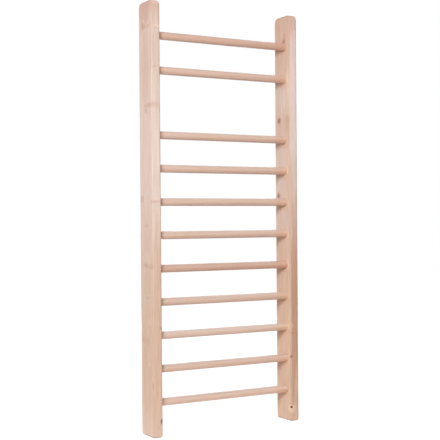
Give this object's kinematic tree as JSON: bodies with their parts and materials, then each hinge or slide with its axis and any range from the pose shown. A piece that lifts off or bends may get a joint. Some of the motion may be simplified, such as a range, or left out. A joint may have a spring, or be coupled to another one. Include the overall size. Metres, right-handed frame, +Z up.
{
  "type": "swedish wall bars",
  "caption": "Tall wooden climbing frame for a wall: two rounded uprights joined by round rungs, with one wide gap near the top.",
  "frame": {"origin": "on the floor, midway between the uprights and midway through their depth", "axes": "+X along the rungs to the right of someone facing the bars, +Y towards the wall, +Z up"},
  "size_m": [0.8, 0.13, 2],
  "materials": {
    "upright_wood": "sanded pale softwood, satin clear coat",
    "rung_wood": "turned pale hardwood, satin clear coat",
    "pin_wood": "end grain, sanded"
  },
  "bodies": {
    "root": {"upright_left": "upright_wood", "upright_right": "upright_wood", "rung_01": "rung_wood", "rung_02": "rung_wood", "rung_03": "rung_wood", "rung_04": "rung_wood", "rung_05": "rung_wood", "rung_06": "rung_wood", "rung_07": "rung_wood", "rung_08": "rung_wood", "rung_09": "rung_wood", "rung_10": "rung_wood", "rung_11": "rung_wood", "rung_pin_left_01": "pin_wood", "rung_pin_left_02": "pin_wood", "rung_pin_left_03": "pin_wood", "rung_pin_left_04": "pin_wood", "rung_pin_left_05": "pin_wood", "rung_pin_left_06": "pin_wood", "rung_pin_left_07": "pin_wood", "rung_pin_left_08": "pin_wood", "rung_pin_left_09": "pin_wood", "rung_pin_left_10": "pin_wood", "rung_pin_left_11": "pin_wood", "rung_pin_right_01": "pin_wood", "rung_pin_right_02": "pin_wood", "rung_pin_right_03": "pin_wood", "rung_pin_right_04": "pin_wood", "rung_pin_right_05": "pin_wood", "rung_pin_right_06": "pin_wood", "rung_pin_right_07": "pin_wood", "rung_pin_right_08": "pin_wood", "rung_pin_right_09": "pin_wood", "rung_pin_right_10": "pin_wood", "rung_pin_right_11": "pin_wood"}
  },
  "joints": []
}
